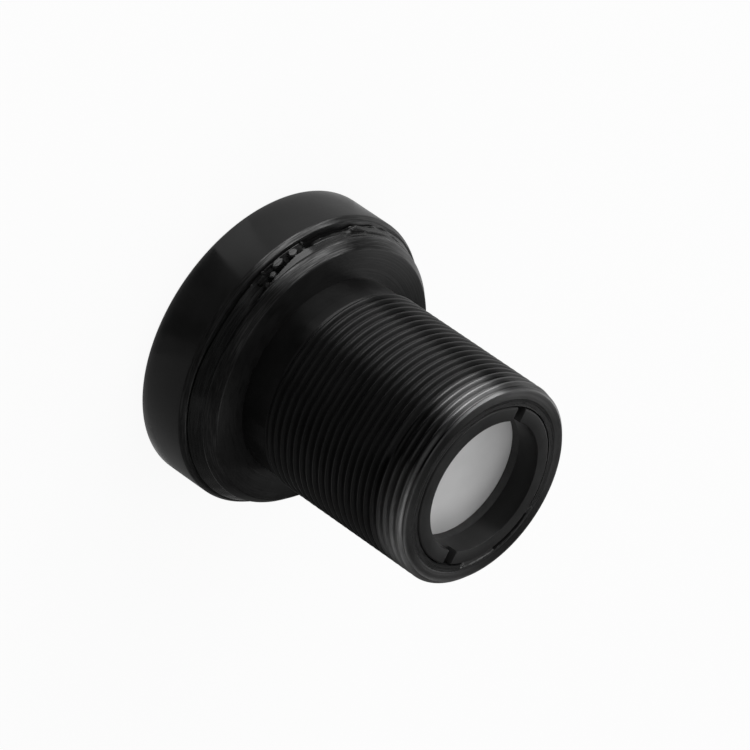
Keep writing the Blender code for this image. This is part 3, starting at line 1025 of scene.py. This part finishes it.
def cap_finish():
    """Fine matt black, with faint turning lines."""
    return anodised("cap_black", greys=(0.005, 0.008), roughness=(0.34, 0.40),
                    marks=0.002 * MM, grain=0.0005 * MM, streak=0.7, rubbed=rubbed_cap)


def ring_finish():
    """Satin black of the retaining ring, with painted shade in its bore."""
    return anodised("ring_black", greys=(0.011, 0.017), roughness=(0.40, 0.48),
                    marks=0.002 * MM, grain=0.0006 * MM, streak=0.3, shade_share=painted_bore_shade)


def blackened_and_shade_finish(name, greys, specular=0.3):
    """Dead matt black of the rings inside the lens, and painted shade on hollows in the
    adhesive.
    """
    material, tree, shader = new_finish(name)
    place = object_place(tree)
    patches = noise_of(tree, place, size=0.5 * MM, detail=3.0)
    specks = noise_of(tree, place, size=0.04 * MM)
    colour = blended_greys(tree, patches, greys)
    roughness = ranged(tree, patches, 0.55, 0.7)
    set_surface(tree, shader, colour, roughness, specular)
    add_bumps(tree, shader, ((specks, 0.0006 * MM),))
    return material


def painted_shade_black(name):
    """Painted shade: the dullest black, painted on the hollow and the trench in the adhesive.
    """
    return blackened_and_shade_finish(name, PAINTED_SHADE_GREYS, PAINTED_SHADE_SPECULAR)


def edge_ink():
    """Black ink on the ground edges of the glass."""
    material, tree, shader = new_finish("edge_ink")
    grain = noise_of(tree, object_place(tree), size=0.05 * MM)
    colour = blended_greys(tree, grain, (0.004, 0.007))
    roughness = ranged(tree, grain, 0.4, 0.55)
    set_surface(tree, shader, colour, roughness)
    return material


def adhesive_finish():
    """Cured black adhesive: glossy, with streaks from its spreading and small pits."""
    material, tree, shader = new_finish("adhesive_gloss")
    streaks = noise_of(tree, along_turning(tree), size=0.09 * MM, detail=3.0)
    pits = noise_of(tree, object_place(tree), size=0.09 * MM, detail=3.0)
    colour = blended_greys(tree, streaks, (0.002, 0.005))
    roughness = ranged(tree, streaks, 0.14, 0.38)
    set_surface(tree, shader, colour, roughness, specular=0.4)
    add_bumps(tree, shader, ((streaks, 0.006 * MM), (pits, 0.002 * MM)))
    return material


def lock_finish():
    """Cured adhesive round the ring, matt and a little dusty."""
    material, tree, shader = new_finish("ring_lock_matt")
    streaks = noise_of(tree, along_turning(tree), size=0.08 * MM, detail=3.0)
    colour = blended_greys(tree, streaks, (0.010, 0.018))
    roughness = ranged(tree, streaks, 0.2, 0.4)
    set_surface(tree, shader, colour, roughness, specular=0.4)
    add_bumps(tree, shader, ((streaks, 0.004 * MM),))
    return material


def glass_finish():
    """Optical glass with a thin coating."""
    material, tree, shader = new_finish("element_glass")
    haze = noise_of(tree, object_place(tree), size=0.8 * MM, detail=3.0)
    colour = blended(tree, haze, GLASS_TINT, CLEAR)
    roughness = ranged(tree, haze, 0.0, 0.02)
    set_surface(tree, shader, colour, roughness)
    shader.inputs["Transmission Weight"].default_value = 1.0
    shader.inputs["IOR"].default_value = GLASS_INDEX
    shader.inputs["Thin Film Thickness"].default_value = FILM_THICKNESS
    shader.inputs["Thin Film IOR"].default_value = FILM_INDEX
    return material


def filter_finish():
    """Infrared filter, painted pale grey as a painted reflection, so that it looks like an
    even matt sheet.
    """
    material, tree, shader = new_finish("filter_glass")
    haze = noise_of(tree, object_place(tree), size=1.5 * MM)
    colour = blended_greys(tree, haze, FILTER_REFLECTION_GREYS)
    roughness = ranged(tree, haze, 0.30, 0.36)
    set_surface(tree, shader, colour, roughness, specular=0.3)
    shader.inputs["Transmission Weight"].default_value = FILTER_TRANSMISSION
    return material


def repaint(name, material):
    """Give a kept CAD node its finish."""
    node = nodes[name]
    node.data.materials.clear()
    node.data.materials.append(material)


def finish_inner_pieces():
    """Finishes of the pieces that keep their CAD shape."""
    black = blackened_and_shade_finish("spacer_black", (0.004, 0.008))
    for name in INNER_RINGS:
        repaint(name, black)
    repaint("filter_spacer", blackened_and_shade_finish("filter_spacer_grey", (0.03, 0.05)))
    repaint("ir_filter", filter_finish())


# Stage

def seen_directly(tree):
    """1 for camera, mirror and glass rays, and 0 for all others."""
    path = tree.nodes.new("ShaderNodeLightPath").outputs
    seen = computed(tree, "MAXIMUM", path["Is Camera Ray"], path["Is Glossy Ray"])
    return computed(tree, "MAXIMUM", seen, path["Is Transmission Ray"])


def mixed_shaders(tree, share, first, second):
    """Output between two shaders' outputs, from the first towards the second by the share."""
    mix = tree.nodes.new("ShaderNodeMixShader")
    tree.links.new(share, mix.inputs[0])
    tree.links.new(first, mix.inputs[1])
    tree.links.new(second, mix.inputs[2])
    return mix.outputs[0]


def stage_material(name):
    """A material with an empty node tree, and the surface input of its output node."""
    material = bpy.data.materials.new(name)
    material.use_nodes = True
    tree = material.node_tree
    tree.nodes.clear()
    output = tree.nodes.new("ShaderNodeOutputMaterial")
    return material, tree, output.inputs["Surface"]


def make_floor():
    """Pale floor that shows white, and keeps a weak shadow."""
    mesh = bpy.data.meshes.new("floor")
    half = FLOOR_SIZE / 2
    corners = [(-half, -half), (half, -half), (half, half), (-half, half)]
    mesh.from_pydata([(x, y, -FLOOR_DROP) for x, y in corners], [], [(0, 1, 2, 3)])
    floor = add_object("floor", mesh)
    material, tree, surface = stage_material("floor_paper")
    paper = tree.nodes.new("ShaderNodeBsdfDiffuse")
    paper.inputs["Color"].default_value = FLOOR_COLOUR
    glow = tree.nodes.new("ShaderNodeEmission")
    share = times(tree, seen_directly(tree), FLOOR_GLOW)
    tree.links.new(mixed_shaders(tree, share, paper.outputs[0], glow.outputs[0]), surface)
    mesh.materials.append(material)


def sky_light(tree, level):
    """White light of that level from all round."""
    light = tree.nodes.new("ShaderNodeBackground")
    light.inputs["Color"].default_value = SKY_COLOUR
    light.inputs["Strength"].default_value = level
    return light.outputs[0]


def make_sky():
    """Soft even light from all round, which looks white behind and in the object."""
    world = bpy.data.worlds.new("studio")
    bpy.context.scene.world = world
    world.use_nodes = True
    tree = world.node_tree
    tree.nodes.clear()
    plain = sky_light(tree, SKY_LEVEL)
    white = sky_light(tree, 1.0)
    output = tree.nodes.new("ShaderNodeOutputWorld")
    sky = mixed_shaders(tree, seen_directly(tree), plain, white)
    tree.links.new(sky, output.inputs["Surface"])


def make_lamps():
    """Softboxes round the object, each with the radiance that a mirror would show."""
    centre = (cad_low + cad_high) / 2
    for name, bearing, elevation, distance, width, height, radiance in LAMPS:
        lamp = bpy.data.lights.new(name, "AREA")
        lamp.shape = "RECTANGLE"
        lamp.size = width
        lamp.size_y = height
        lamp.energy = radiance * math.pi * width * height
        towards = direction(bearing, elevation)
        holder = add_object(name, lamp)
        holder.location = centre + towards * distance
        holder.rotation_mode = "QUATERNION"
        holder.rotation_quaternion = towards.to_track_quat("Z", "Y")


def band_faces(bands, count, closed):
    """Faces between rows of count points each."""
    faces = []
    for band in range(bands):
        for step in range(count if closed else count - 1):
            here = band * count + step
            beside = band * count + (step + 1) % count
            faces.append((here, beside, beside + count, here + count))
    return faces


def hang_cloth(name, verts, faces, level):
    """Dark cloth or mat of the stage, which only reflections show."""
    mesh = bpy.data.meshes.new(name)
    mesh.from_pydata(verts, [], faces)
    material, tree, surface = stage_material(name + "_black")
    dim = tree.nodes.new("ShaderNodeEmission")
    dim.inputs["Strength"].default_value = level
    tree.links.new(dim.outputs[0], surface)
    mesh.materials.append(material)
    cloth = add_object(name, mesh)
    cloth.visible_camera = False
    cloth.visible_diffuse = False
    cloth.visible_transmission = False
    cloth.visible_volume_scatter = False
    cloth.visible_shadow = False


def make_tent():
    """A dark tent that is open behind the object."""
    verts = []
    for ring in range(TENT_RINGS + 1):
        for step in range(CLOTH_STEPS):
            bearing = 360.0 * step / CLOTH_STEPS
            behind = BEHIND_BEARINGS[0] <= bearing <= BEHIND_BEARINGS[1]
            edge = TENT_EDGE_BEHIND if behind else TENT_EDGE
            elevation = edge + (ZENITH - edge) * ring / TENT_RINGS
            verts.append(direction(bearing, elevation) * TENT_RADIUS)
    faces = band_faces(TENT_RINGS, CLOTH_STEPS, closed=True)
    hang_cloth("dark_tent", verts, faces, TENT_LEVEL)


def make_mats():
    """Dark mats on the floor beside the object, each part of a ring."""
    faces = band_faces(1, CLOTH_STEPS + 1, closed=False)
    for name, first, last, inner, outer, level in MATS:
        verts = []
        for radius in (inner, outer):
            for step in range(CLOTH_STEPS + 1):
                bearing = first + (last - first) * step / CLOTH_STEPS
                spot = direction(bearing, 0.0) * radius
                verts.append((spot.x, spot.y, MAT_HEIGHT))
        hang_cloth(name, verts, faces, level)


def make_camera():
    """The photograph's camera, which looks down on the rear end and is rolled to one side."""
    data = bpy.data.cameras.new("photo_camera")
    data.sensor_width = SENSOR_WIDTH
    data.lens = CAMERA_LENS
    data.clip_start, data.clip_end = CAMERA_CLIP
    camera = add_object("photo_camera", data)
    back = direction(CAMERA_BEARING, CAMERA_ELEVATION)
    level = back.to_track_quat("Z", "Y").to_matrix()
    rolled = level @ Matrix.Rotation(CAMERA_ROLL, 3, "Z")
    camera.matrix_world = (Matrix.Translation(CAMERA_TARGET + back * CAMERA_DISTANCE)
                           @ rolled.to_4x4())
    bpy.context.scene.camera = camera


def main():
    """Dress the object, set the stage, and place the camera."""
    make_barrel()
    make_cap()
    make_ring()
    make_adhesive()
    make_ring_lock()
    make_elements()
    finish_inner_pieces()
    make_floor()
    make_sky()
    make_lamps()
    make_tent()
    make_mats()
    make_camera()
    bpy.context.scene.view_settings.view_transform = "Standard"


main()
